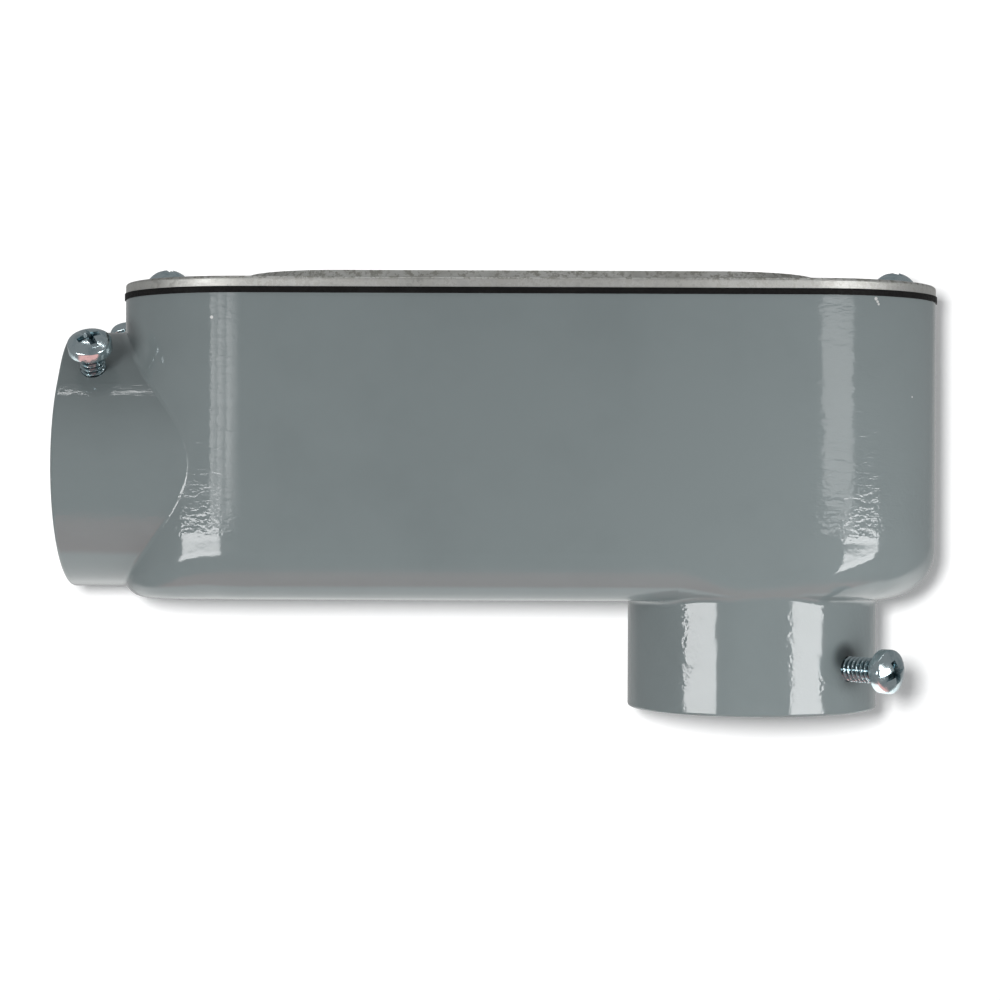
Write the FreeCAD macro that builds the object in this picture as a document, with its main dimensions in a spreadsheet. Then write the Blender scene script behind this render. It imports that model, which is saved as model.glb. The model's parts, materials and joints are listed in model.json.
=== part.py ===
import FreeCAD, Part

import math
import os

import Sketcher

# Conduit body, elbow type with its outlet in the back, for thin-wall conduit held by set screws.
# A hollow die-cast body is closed by a stamped cover on a rubber gasket.
#
# Frame: the origin is the middle of the back hub's mouth. +Z runs up that hub towards the cover,
# the end hub's mouth faces -X, and the body's long sides face -Y and +Y. Millimetres and degrees.

Vector = FreeCAD.Vector
X_AXIS = Vector(1, 0, 0)
Y_AXIS = Vector(0, 1, 0)
Z_AXIS = Vector(0, 0, 1)
TOUCH = 1e-6
NEAR = 1e-3

SIZES = {
    # cast body
    "body_half_width": 33.2,
    "body_tip_to_tip": 203.7,
    "closed_tip_to_back_hub": 45.9,
    "body_depth": 74.0,
    "shell_wall": 3.0,
    # rounding of the body's bottom outer edge, less where a hub runs close to it
    "side_edge_radius": 12.0,
    "closed_end_edge_radius": 13.0,
    "beside_back_hub_edge_radius": 8.0,
    "before_back_hub_edge_radius": 5.5,
    "hub_end_edge_radius": 5.0,
    "narrowing_start": 20.0,
    "narrowing_end": 6.0,
    "hub_end_arc": 28.0,
    "hub_end_spread_arc": 44.0,
    "closed_end_spread_arc": 32.0,
    # hubs
    "hub_bore_radius": 28.1,
    "back_hub_wall": 3.15,
    "back_hub_length": 27.3,
    "back_hub_junction_round": 1.5,
    "end_hub_wall": 2.4,
    "end_hub_length": 13.1,
    "end_hub_drop": 41.1,
    "end_hub_lobe_radius": 25.5,
    "end_hub_lobe_rise": 7.85,
    "end_hub_junction_round": 1.2,
    "throat_step": 1.85,
    "socket_depth": 25.7,
    "stop_thickness": 4.6,
    "throat_lip_radius": 1.2,
    "hub_mouth_round": 0.7,
    # gasket and cover
    "gasket_thickness": 1.5,
    "gasket_overhang": 0.3,
    "gasket_side_land": 6.0,
    "gasket_end_land": 17.0,
    "cover_thickness": 2.55,
    "cover_edge_radius": 0.8,
    "panel_rise": 2.05,
    "panel_side_inset": 7.2,
    "panel_end_inset": 30.5,
    "panel_slope_angle": 45.0,
    # cover screws and what they go into
    "cover_screw_inset": 10.2,
    "cover_screw_shank_radius": 2.7,
    "cover_screw_length": 13.5,
    "cover_screw_head_radius": 5.3,
    "cover_screw_head_height": 4.1,
    "cover_screw_head_side": 1.0,
    "cover_screw_hole_depth": 11.0,
    "cover_hole_clearance": 0.4,
    "boss_radius": 6.4,
    "boss_web_width": 8.0,
    # set screws
    "set_screw_shank_radius": 3.1,
    "set_screw_head_radius": 5.35,
    "set_screw_head_side": 2.7,
    "set_screw_head_dome": 1.9,
    "set_screw_point_chamfer": 0.8,
    "back_set_screw_angle": 45.0,
    "back_set_screw_height": 11.1,
    "back_set_screw_front_stand_off": 9.9,
    "back_set_screw_rear_stand_off": 9.9,
    "end_set_screw_angle": 40.5,
    "end_set_screw_inset": 8.4,
    "end_set_screw_front_stand_off": 5.8,
    "end_set_screw_rear_stand_off": 11.9,
    # fit of every screw's shank in its hole
    "thread_clearance": 0.06,
}

# Places that several pieces share, as expressions on the sheet.
SEAT = "(sizes.back_hub_length + sizes.body_depth)"
COVER_SEAT = f"({SEAT} + sizes.gasket_thickness)"
COVER_FACE = f"({COVER_SEAT} + sizes.cover_thickness)"
HUB_TIP = "(sizes.closed_tip_to_back_hub - sizes.body_tip_to_tip)"
HUB_ARC = f"({HUB_TIP} + sizes.body_half_width)"
CLOSED_ARC = "(sizes.closed_tip_to_back_hub - sizes.body_half_width)"
ARC_SPAN = f"({CLOSED_ARC} - {HUB_ARC})"
END_HUB_AXIS = f"({SEAT} - sizes.end_hub_drop)"
END_HUB_MOUTH = f"({HUB_TIP} - sizes.end_hub_length)"
END_HUB_STOP = f"({END_HUB_MOUTH} + sizes.socket_depth)"
END_HUB_LIP = f"({END_HUB_STOP} + sizes.stop_thickness)"
FLOOR = "(sizes.back_hub_length + sizes.shell_wall)"
HUB_RADIUS = {hub: f"(sizes.hub_bore_radius + sizes.{hub}_hub_wall)" for hub in ("back", "end")}
HUB_END_SCREW = f"({HUB_TIP} + sizes.cover_screw_inset)"
BACK_END_SCREW = "(sizes.closed_tip_to_back_hub - sizes.cover_screw_inset)"
END_SET_SCREW = f"({END_HUB_MOUTH} + sizes.end_set_screw_inset)"


def make_sheet():
    """The driving dimensions, one named cell each."""
    cells = document.addObject("Spreadsheet::Sheet", "sizes")
    for row, (alias, value) in enumerate(SIZES.items(), start=1):
        cells.set(f"A{row}", alias)
        cells.set(f"B{row}", str(value))
        cells.setAlias(f"B{row}", alias)
    document.recompute()
    return cells


document = FreeCAD.newDocument("conduit_body")
sheet = make_sheet()


# ------------------------------------------------------------------ helpers

def bind(thing, **expressions):
    """Drive properties from the sheet."""
    for name, expression in expressions.items():
        thing.setExpression(name, expression)
    return thing


def put(thing, x="0", y="0", z="0"):
    """Place a thing by three expressions in millimetres."""
    for axis, expression in (("x", x), ("y", y), ("z", z)):
        thing.setExpression(f"Placement.Base.{axis}", f"({expression}) * 1 mm")
    return thing


def cylinder(name, radius, height, x="0", y="0", z="0", along=Z_AXIS):
    """A cylinder that starts at (x, y, z) and grows along the given direction."""
    piece = document.addObject("Part::Cylinder", name)
    bind(piece, Radius=radius, Height=height)
    piece.Placement.Rotation = FreeCAD.Rotation(Z_AXIS, along)
    return put(piece, x, y, z)


def box(name, length, width, height, x="0", y="0", z="0"):
    """A box with its lowest corner at (x, y, z)."""
    piece = document.addObject("Part::Box", name)
    bind(piece, Length=length, Width=width, Height=height)
    return put(piece, x, y, z)


def fuse(name, pieces):
    whole = document.addObject("Part::MultiFuse", name)
    whole.Shapes = pieces
    whole.Refine = True
    return whole


def cut(name, base, tool):
    piece = document.addObject("Part::Cut", name)
    piece.Base = base
    piece.Tool = tool
    piece.Refine = True
    return piece


def round_edges(name, base, is_wanted, first, last):
    """Round the wanted edges, from the first radius to the last along +X or round from -Y."""
    document.recompute()
    rounded = document.addObject("Part::Fillet", name)
    rounded.Base = base
    chosen = []
    for number, edge in enumerate(base.Shape.Edges, start=1):
        if is_wanted(edge):
            runs_back = edge.valueAt(edge.LastParameter).x < edge.valueAt(edge.FirstParameter).x
            straight = isinstance(edge.Curve, Part.Line)
            chosen.append((number, last, first) if straight and runs_back else (number, first, last))
    rounded.Edges = chosen
    return rounded


def runs_along(edge, piece):
    """Whether a curved edge lies on a piece all the way."""
    if isinstance(edge.Curve, (Part.Line, Part.LineSegment)):
        return False
    span = edge.LastParameter - edge.FirstParameter
    places = [edge.valueAt(edge.FirstParameter + share * span) for share in (0, 0.3, 0.6, 1)]
    return all(piece.Shape.distToShape(Part.Vertex(place))[0] < NEAR for place in places)


def is_circle(edge, radius, **centre):
    """Whether an edge is a whole circle of this radius, at the given centre coordinates."""
    if not isinstance(edge.Curve, Part.Circle) or not edge.isClosed():
        return False
    if abs(edge.Curve.Radius - radius) > TOUCH:
        return False
    return all(abs(getattr(edge.Curve.Center, axis) - value) < TOUCH for axis, value in centre.items())


# ------------------------------------------------------------------ cast body
# One half of the skin is made of upright slices that share their side faces. The bottom edge of
# each slice has its own rounding, which starts and ends at its neighbours' radii, so that the
# rounding swells and narrows along the body without a step.

def skin_wedge(name, inset, centre, start, sweep, first, last):
    """A slice of a rounded end, which starts at an angle from +X."""
    wedge = document.addObject("Part::Cylinder", f"{name}_wedge")
    bind(wedge, Radius=f"sizes.body_half_width - {inset}", Height=f"sizes.body_depth - {inset}",
         Angle=f"({sweep}) * 1 deg")
    wedge.Placement.Rotation = FreeCAD.Rotation(Z_AXIS, 1)
    wedge.setExpression("Placement.Rotation.Angle", f"({start}) * 1 deg")
    put(wedge, centre, "0", f"sizes.back_hub_length + {inset}")

    def is_bottom_rim(edge):
        bounds = edge.BoundBox
        low = wedge.Placement.Base.z
        return isinstance(edge.Curve, Part.Circle) and abs(bounds.ZMax - low) < TOUCH

    return round_edges(name, wedge, is_bottom_rim, first, last)


def skin_slab(name, inset, x, length, first, last):
    """A slice of the straight side."""
    width = f"sizes.body_half_width - {inset}"
    slab = box(f"{name}_slab", length, width, f"sizes.body_depth - {inset}",
               x, f"-({width})", f"sizes.back_hub_length + {inset}")

    def is_bottom_outer(edge):
        middle = edge.CenterOfMass
        corner = slab.Placement.Base
        return abs(middle.z - corner.z) < TOUCH and abs(middle.y - corner.y) < TOUCH

    return round_edges(name, slab, is_bottom_outer, first, last)


def skin(name, inset):
    """The closed skin of the body, moved inwards by an inset."""
    wall = 0 if inset == "0" else sheet.get(inset.removeprefix("sizes."))
    side = sheet.side_edge_radius - wall
    closed_end = sheet.closed_end_edge_radius - wall
    beside_hub = sheet.beside_back_hub_edge_radius - wall
    before_hub = sheet.before_back_hub_edge_radius - wall
    hub_end = sheet.hub_end_edge_radius - wall
    spread_start = "180 + sizes.hub_end_arc"
    spread_end = f"{spread_start} + sizes.hub_end_spread_arc"
    closed_start = "270 + sizes.closed_end_spread_arc"
    slices = [
        skin_wedge(f"{name}_hub_tip", inset, HUB_ARC, "180", "sizes.hub_end_arc", hub_end, hub_end),
        skin_wedge(f"{name}_hub_spread", inset, HUB_ARC, spread_start, "sizes.hub_end_spread_arc",
                   hub_end, side),
        skin_wedge(f"{name}_hub_corner", inset, HUB_ARC, spread_end, f"270 - ({spread_end})",
                   side, side),
        skin_slab(f"{name}_side", inset, HUB_ARC, f"-sizes.narrowing_start - {HUB_ARC}", side, side),
        skin_slab(f"{name}_narrowing", inset, "-sizes.narrowing_start",
                  "sizes.narrowing_start - sizes.narrowing_end", side, before_hub),
        skin_slab(f"{name}_before_hub", inset, "-sizes.narrowing_end", "sizes.narrowing_end",
                  before_hub, before_hub),
        skin_slab(f"{name}_beside_hub", inset, "0", CLOSED_ARC, before_hub, beside_hub),
        skin_wedge(f"{name}_closed_spread", inset, CLOSED_ARC, "270", "sizes.closed_end_spread_arc",
                   beside_hub, closed_end),
        skin_wedge(f"{name}_closed_tip", inset, CLOSED_ARC, closed_start, f"360 - ({closed_start})",
                   closed_end, closed_end),
    ]
    front = fuse(f"{name}_front", slices)
    rear = document.addObject("Part::Mirroring", f"{name}_rear")
    rear.Source = front
    rear.Normal = Y_AXIS
    return fuse(name, [front, rear])


def cover_screw_boss(name, x, web_start, web_length):
    """An upright boss from the floor to the seat, with a web to the end wall behind it."""
    height = "sizes.body_depth"
    boss = cylinder(f"{name}_post", "sizes.boss_radius", height, x, "0", "sizes.back_hub_length")
    web = box(f"{name}_web", web_length, "sizes.boss_web_width", height,
              web_start, "-sizes.boss_web_width / 2", "sizes.back_hub_length")
    return [boss, web]


def set_screw_direction(hub, side):
    """The way out along a set screw: side is -1 at the front and +1 at the rear."""
    angle = math.radians(sheet.get(f"{hub}_set_screw_angle"))
    if hub == "back":
        return Vector(math.cos(angle), side * math.sin(angle), 0)
    return Vector(0, side * math.sin(angle), math.cos(angle))


def cast_cavity():
    """The room inside: the inner skin less the end hub's socket wall and the two screw bosses."""
    socket_length = f"{END_HUB_LIP} - {HUB_TIP}"
    sleeve = cylinder("socket_sleeve", HUB_RADIUS["end"], socket_length,
                      HUB_TIP, "0", END_HUB_AXIS, along=X_AXIS)
    saddle = box("socket_saddle", socket_length, f"2 * {HUB_RADIUS['end']}",
                 f"{END_HUB_AXIS} - sizes.back_hub_length",
                 HUB_TIP, f"-{HUB_RADIUS['end']}", "sizes.back_hub_length")
    posts = cover_screw_boss("hub_end_boss", HUB_END_SCREW, HUB_TIP, "sizes.cover_screw_inset")
    posts += cover_screw_boss("back_end_boss", BACK_END_SCREW, BACK_END_SCREW,
                              "sizes.cover_screw_inset")
    return cut("cavity", skin("inner_skin", "sizes.shell_wall"),
               fuse("left_standing", [sleeve, saddle] + posts))


def cast_holes():
    """Both sockets with their throats, and the six tapped holes."""
    socket, throat = "sizes.hub_bore_radius", "sizes.hub_bore_radius - sizes.throat_step"
    past_stop = "sizes.stop_thickness + sizes.shell_wall"
    holes = [
        cylinder("back_socket", socket, "sizes.socket_depth"),
        cylinder("back_throat", throat, past_stop, z="sizes.socket_depth"),
        cylinder("end_socket", socket, "sizes.socket_depth", END_HUB_MOUTH, "0", END_HUB_AXIS,
                 along=X_AXIS),
        cylinder("end_throat", throat, past_stop, END_HUB_STOP, "0", END_HUB_AXIS, along=X_AXIS),
    ]
    for name, x in (("hub_end", HUB_END_SCREW), ("back_end", BACK_END_SCREW)):
        holes.append(cylinder(f"{name}_tapped_hole",
                              "sizes.cover_screw_shank_radius + sizes.thread_clearance",
                              "sizes.cover_screw_hole_depth", x, "0",
                              f"{SEAT} - sizes.cover_screw_hole_depth"))
    for side, place in ((-1, "front"), (1, "rear")):
        radius = "sizes.set_screw_shank_radius + sizes.thread_clearance"
        holes.append(cylinder(f"back_hub_{place}_tapped_hole", radius,
                              f"1.2 * {HUB_RADIUS['back']}", z="sizes.back_set_screw_height",
                              along=set_screw_direction("back", side)))
        holes.append(cylinder(f"end_hub_{place}_tapped_hole", radius,
                              f"1.2 * {HUB_RADIUS['end']}", END_SET_SCREW, "0", END_HUB_AXIS,
                              along=set_screw_direction("end", side)))
    return holes


def make_end_hub():
    """The end hub's outside: round below, with a narrower lobe on top that its screws go into."""
    body = new_body("end_hub")
    outline = sketch_on(body, "end_hub_outline", "XY_Plane")
    draw_stadium(outline, "sizes.end_hub_lobe_rise", HUB_RADIUS["end"], "sizes.end_hub_lobe_radius")
    pad(body, outline, f"{HUB_ARC} - {END_HUB_MOUTH}")
    body.Placement.Rotation = FreeCAD.Rotation(Z_AXIS, -Y_AXIS, X_AXIS, "ZXY")
    return put(body, END_HUB_MOUTH, "0", END_HUB_AXIS)


def make_body_casting():
    """Hollow die casting: body, two hubs with stops, two screw bosses and the gasket seat."""
    mouth_x = sheet.closed_tip_to_back_hub - sheet.body_tip_to_tip - sheet.end_hub_length
    lip_x = mouth_x + sheet.socket_depth + sheet.stop_thickness
    floor_z = sheet.back_hub_length + sheet.shell_wall
    throat_radius = sheet.hub_bore_radius - sheet.throat_step

    def is_mouth(edge):
        return edge.BoundBox.ZMax < NEAR or edge.BoundBox.XMax < mouth_x + NEAR

    def is_back_junction(edge):
        return not is_mouth(edge) and runs_along(edge, back_hub)

    def is_end_junction(edge):
        return not is_mouth(edge) and runs_along(edge, end_hub)

    def is_lip(edge):
        return (is_circle(edge, throat_radius, z=floor_z)
                or is_circle(edge, throat_radius, x=lip_x))

    end_hub = make_end_hub()
    back_hub = cylinder("back_hub", HUB_RADIUS["back"], FLOOR)
    solid = fuse("outside", [skin("outer_skin", "0"), end_hub, back_hub])
    solid = round_edges("round_back_junction", solid, is_back_junction,
                        sheet.back_hub_junction_round, sheet.back_hub_junction_round)
    solid = round_edges("round_end_junction", solid, is_end_junction,
                        sheet.end_hub_junction_round, sheet.end_hub_junction_round)
    solid = round_edges("round_mouths", solid, is_mouth, sheet.hub_mouth_round, sheet.hub_mouth_round)
    hollow = cut("hollow_casting", solid, fuse("hollows", [cast_cavity()] + cast_holes()))
    return round_edges("body_casting", hollow, is_lip,
                       sheet.throat_lip_radius, sheet.throat_lip_radius)


# ------------------------------------------------------------------ cover and gasket

def plane_of(body, role):
    """One of a body's own origin planes."""
    return next(plane for plane in body.Origin.OriginFeatures if plane.Role == role)


def sketch_on(body, name, role, x="0", z="0"):
    """An empty sketch on a body's own plane, moved along the plane and off it."""
    sketch = body.newObject("Sketcher::SketchObject", name)
    sketch.AttachmentSupport = [(plane_of(body, role), "")]
    sketch.MapMode = "FlatFace"
    sketch.setExpression("AttachmentOffset.Base.x", f"({x}) * 1 mm")
    sketch.setExpression("AttachmentOffset.Base.z", f"({z}) * 1 mm")
    return sketch


def constrain(sketch, kind, *arguments, expression=None):
    """Add a constraint, driven from the sheet when an expression is given."""
    number = sketch.addConstraint(Sketcher.Constraint(kind, *arguments))
    if expression:
        sketch.setExpression(f"Constraints[{number}]", expression)


def draw_stadium(sketch, span, radius, far_radius=None):
    """A slot outline: the first arc's centre is the sketch's origin, the other's is at +span."""
    up, down = math.pi / 2, -math.pi / 2
    left = sketch.addGeometry(Part.ArcOfCircle(Part.Circle(Vector(0, 0, 0), Z_AXIS, 30), up, 3 * up))
    low = sketch.addGeometry(Part.LineSegment(Vector(0, -30, 0), Vector(130, -30, 0)))
    right = sketch.addGeometry(Part.ArcOfCircle(Part.Circle(Vector(130, 0, 0), Z_AXIS, 30), down, up))
    high = sketch.addGeometry(Part.LineSegment(Vector(130, 30, 0), Vector(0, 30, 0)))
    constrain(sketch, "Tangent", left, 2, low, 1)
    constrain(sketch, "Tangent", low, 2, right, 1)
    constrain(sketch, "Tangent", right, 2, high, 1)
    constrain(sketch, "Tangent", high, 2, left, 1)
    constrain(sketch, "Coincident", left, 3, -1, 1)
    constrain(sketch, "PointOnObject", right, 3, -1)
    constrain(sketch, "DistanceX", -1, 1, right, 3, 130, expression=span)
    constrain(sketch, "Radius", left, 30, expression=radius)
    if far_radius:
        constrain(sketch, "Radius", right, 30, expression=far_radius)
    else:
        constrain(sketch, "Equal", left, right)


def draw_screw_holes(sketch, radius):
    """Two round holes, with the sketch's origin on the first."""
    spacing = "sizes.body_tip_to_tip - 2 * sizes.cover_screw_inset"
    first = sketch.addGeometry(Part.Circle(Vector(0, 0, 0), Z_AXIS, 3))
    second = sketch.addGeometry(Part.Circle(Vector(180, 0, 0), Z_AXIS, 3))
    constrain(sketch, "Coincident", first, 3, -1, 1)
    constrain(sketch, "PointOnObject", second, 3, -1)
    constrain(sketch, "DistanceX", -1, 1, second, 3, 180, expression=spacing)
    constrain(sketch, "Radius", first, 3, expression=radius)
    constrain(sketch, "Equal", first, second)


def pad(body, sketch, length):
    feature = body.newObject("PartDesign::Pad", f"{sketch.Name}_pad")
    feature.Profile = sketch
    return bind(feature, Length=length)


def pocket(body, sketch, length):
    """Cut upwards from the sketch."""
    feature = body.newObject("PartDesign::Pocket", f"{sketch.Name}_pocket")
    feature.Profile = sketch
    feature.Reversed = True
    return bind(feature, Length=length)


def new_body(label):
    body = document.addObject("PartDesign::Body", label)
    body.Label = label
    return body


def make_cover_gasket():
    """Flat rubber frame, wider at its ends round the screws. It stands a little proud all round."""
    body = new_body("cover_gasket")
    outline = sketch_on(body, "gasket_outline", "XY_Plane", HUB_ARC, SEAT)
    draw_stadium(outline, ARC_SPAN, "sizes.body_half_width + sizes.gasket_overhang")
    pad(body, outline, "sizes.gasket_thickness")
    opening_radius = "(sizes.body_half_width - sizes.gasket_side_land)"
    opening_start = f"{HUB_TIP} + sizes.gasket_end_land + {opening_radius}"
    opening = sketch_on(body, "gasket_opening", "XY_Plane", opening_start, SEAT)
    draw_stadium(opening, f"sizes.body_tip_to_tip - 2 * sizes.gasket_end_land - 2 * {opening_radius}",
                 opening_radius)
    pocket(body, opening, "sizes.gasket_thickness")
    holes = sketch_on(body, "gasket_holes", "XY_Plane", HUB_END_SCREW, SEAT)
    draw_screw_holes(holes, "sizes.cover_screw_shank_radius + sizes.cover_hole_clearance")
    pocket(body, holes, "sizes.gasket_thickness")
    return body


def make_cover_plate():
    """Stamped sheet: a flat rim, and a centre panel pressed up out of it on a sloping step."""
    body = new_body("cover_plate")
    outline = sketch_on(body, "cover_outline", "XY_Plane", HUB_ARC, COVER_SEAT)
    draw_stadium(outline, ARC_SPAN, "sizes.body_half_width")
    rim = pad(body, outline, "sizes.cover_thickness")
    document.recompute()
    face = sheet.back_hub_length + sheet.body_depth + sheet.gasket_thickness + sheet.cover_thickness
    top_edges = [f"Edge{number}" for number, edge in enumerate(rim.Shape.Edges, start=1)
                 if edge.BoundBox.ZMin > face - TOUCH]
    softened = body.newObject("PartDesign::Fillet", "rolled_top_edge")
    softened.Base = (rim, top_edges)
    bind(softened, Radius="sizes.cover_edge_radius")

    slope = "tan(sizes.panel_slope_angle * 1 deg)"
    panel_length = "sizes.body_tip_to_tip - 2 * sizes.panel_end_inset"
    top_radius = "(sizes.body_half_width - sizes.panel_side_inset)"
    foot_radius = f"({top_radius} + sizes.panel_rise * {slope})"
    start = f"{HUB_TIP} + sizes.panel_end_inset + {top_radius}"
    span = f"{panel_length} - 2 * {top_radius}"
    panel = sketch_on(body, "panel_foot", "XY_Plane", start, COVER_FACE)
    draw_stadium(panel, span, foot_radius)
    raised = pad(body, panel, "sizes.panel_rise")
    raised.TaperAngle = -sheet.panel_slope_angle
    hollow_radius = f"({foot_radius} - sizes.cover_thickness * {slope} / 2)"
    hollow = sketch_on(body, "panel_hollow", "XY_Plane", start, COVER_SEAT)
    draw_stadium(hollow, span, hollow_radius)
    pressed = pocket(body, hollow, "sizes.panel_rise")
    pressed.TaperAngle = -sheet.panel_slope_angle

    holes = sketch_on(body, "cover_holes", "XY_Plane", HUB_END_SCREW, COVER_SEAT)
    draw_screw_holes(holes, "sizes.cover_screw_shank_radius + sizes.cover_hole_clearance")
    pocket(body, holes, "sizes.cover_thickness")
    return body


# ------------------------------------------------------------------ screws

def turned(body, name, draw):
    """A body of revolution about its own Z axis, from a half profile on its XZ plane."""
    sketch = sketch_on(body, name, "XZ_Plane")
    draw(sketch)
    feature = body.newObject("PartDesign::Revolution", f"{name}_turned")
    feature.Profile = sketch
    feature.ReferenceAxis = (sketch, ["V_Axis"])
    feature.Angle = 360
    return feature


def draw_screw_profile(sketch, shank, length, head, side, height, chamfer):
    """Half a screw: the underside of its head is at the origin and its shank points down."""
    shank_v, length_v, head_v, side_v, height_v, chamfer_v = 3, 12, 5, 2, 4, 0.8
    points = [(0, -length_v), (shank_v - chamfer_v, -length_v), (shank_v, -length_v + chamfer_v),
              (shank_v, 0), (head_v, 0), (head_v, side_v)]
    lines = []
    for start, end in zip(points, points[1:]):
        lines.append(sketch.addGeometry(Part.LineSegment(Vector(*start, 0), Vector(*end, 0))))
    dome = sketch.addGeometry(Part.Arc(Vector(head_v, side_v, 0), Vector(0.7 * head_v, 3.4, 0),
                                       Vector(0, height_v, 0)))
    back = sketch.addGeometry(Part.LineSegment(Vector(0, height_v, 0), Vector(0, -length_v, 0)))
    end_face, point_bevel, shank_side, underside, rim = lines
    for here, there in zip(lines, lines[1:]):
        constrain(sketch, "Coincident", here, 2, there, 1)
    constrain(sketch, "Coincident", back, 2, end_face, 1)
    for line, kind in ((end_face, "Horizontal"), (shank_side, "Vertical"),
                       (underside, "Horizontal"), (rim, "Vertical")):
        constrain(sketch, kind, line)
    arc = sketch.Geometry[dome]
    foot_first = arc.StartPoint.x > arc.EndPoint.x
    rim_end, top_end = (1, 2) if foot_first else (2, 1)
    constrain(sketch, "Coincident", rim, 2, dome, rim_end)
    constrain(sketch, "Coincident", dome, top_end, back, 1)
    constrain(sketch, "PointOnObject", back, 1, -2)
    constrain(sketch, "PointOnObject", back, 2, -2)
    constrain(sketch, "PointOnObject", dome, 3, -2)
    constrain(sketch, "PointOnObject", underside, 1, -1)
    constrain(sketch, "DistanceX", -1, 1, shank_side, 1, shank_v, expression=shank)
    constrain(sketch, "DistanceX", -1, 1, underside, 2, head_v, expression=head)
    constrain(sketch, "DistanceY", -1, 1, rim, 2, side_v, expression=side)
    constrain(sketch, "DistanceY", -1, 1, back, 1, height_v, expression=height)
    constrain(sketch, "DistanceY", end_face, 1, -1, 1, length_v, expression=length)
    constrain(sketch, "DistanceX", end_face, 2, shank_side, 1, chamfer_v, expression=chamfer)
    constrain(sketch, "DistanceY", end_face, 2, shank_side, 1, chamfer_v, expression=chamfer)


def make_cover_screw(label, x):
    """Round head machine screw, upright through the cover."""
    body = new_body(label)
    turned(body, f"{label}_profile", lambda sketch: draw_screw_profile(
        sketch, "sizes.cover_screw_shank_radius", "sizes.cover_screw_length",
        "sizes.cover_screw_head_radius", "sizes.cover_screw_head_side",
        "sizes.cover_screw_head_height", "sizes.set_screw_point_chamfer"))
    return put(body, x, "0", COVER_FACE)


def make_set_screw(hub, side, place):
    """Domed head set screw in a hub, its point flush with the bore."""
    label = f"{hub}_hub_set_screw_{place}"
    body = new_body(label)
    stand_off = f"sizes.{hub}_set_screw_{place}_stand_off"
    length = f"sizes.{hub}_hub_wall + {stand_off}"
    turned(body, f"{label}_profile", lambda sketch: draw_screw_profile(
        sketch, "sizes.set_screw_shank_radius", length,
        "sizes.set_screw_head_radius", "sizes.set_screw_head_side",
        "sizes.set_screw_head_side + sizes.set_screw_head_dome", "sizes.set_screw_point_chamfer"))
    out = set_screw_direction(hub, side)
    body.Placement.Rotation = FreeCAD.Rotation(Z_AXIS, out)
    x, z = ("0", "sizes.back_set_screw_height") if hub == "back" else (END_SET_SCREW, END_HUB_AXIS)
    reach = f"({HUB_RADIUS[hub]} + {stand_off})"
    return put(body, f"{x} + {reach} * {out.x}", f"{reach} * {out.y}", f"{z} + {reach} * {out.z}")


# ------------------------------------------------------------------ build, check, write

def make_parts():
    parts = [
        make_body_casting(),
        make_cover_gasket(),
        make_cover_plate(),
        make_cover_screw("cover_screw_hub_end", HUB_END_SCREW),
        make_cover_screw("cover_screw_back_end", BACK_END_SCREW),
    ]
    for hub in ("end", "back"):
        for side, place in ((-1, "front"), (1, "rear")):
            parts.append(make_set_screw(hub, side, place))
    return parts


def check(parts):
    """Stop at any failed object, and at any part without a valid shape."""
    for thing in document.Objects:
        if "Invalid" in thing.State or "Error" in thing.State:
            raise RuntimeError(f"{thing.Label} failed: {thing.State}")
    for part in parts:
        if part.Shape.isNull() or not part.Shape.isValid() or not part.Shape.Solids:
            raise RuntimeError(f"{part.Label} has no valid solid")
        if abs(part.Shape.Volume) < 1:
            raise RuntimeError(f"{part.Label} is empty")


def write(parts):
    os.makedirs("parts", exist_ok=True)
    for part in parts:
        part.Shape.exportStep(f"parts/{part.Label}.step")
        bounds = part.Shape.BoundBox
        print(f"{part.Label}: {len(part.Shape.Solids)} solid, {part.Shape.Volume / 1000:.2f} cm3, "
              f"x {bounds.XMin:.2f}..{bounds.XMax:.2f} y {bounds.YMin:.2f}..{bounds.YMax:.2f} "
              f"z {bounds.ZMin:.2f}..{bounds.ZMax:.2f}")


parts = make_parts()
document.recompute()
check(parts)
write(parts)
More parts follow.
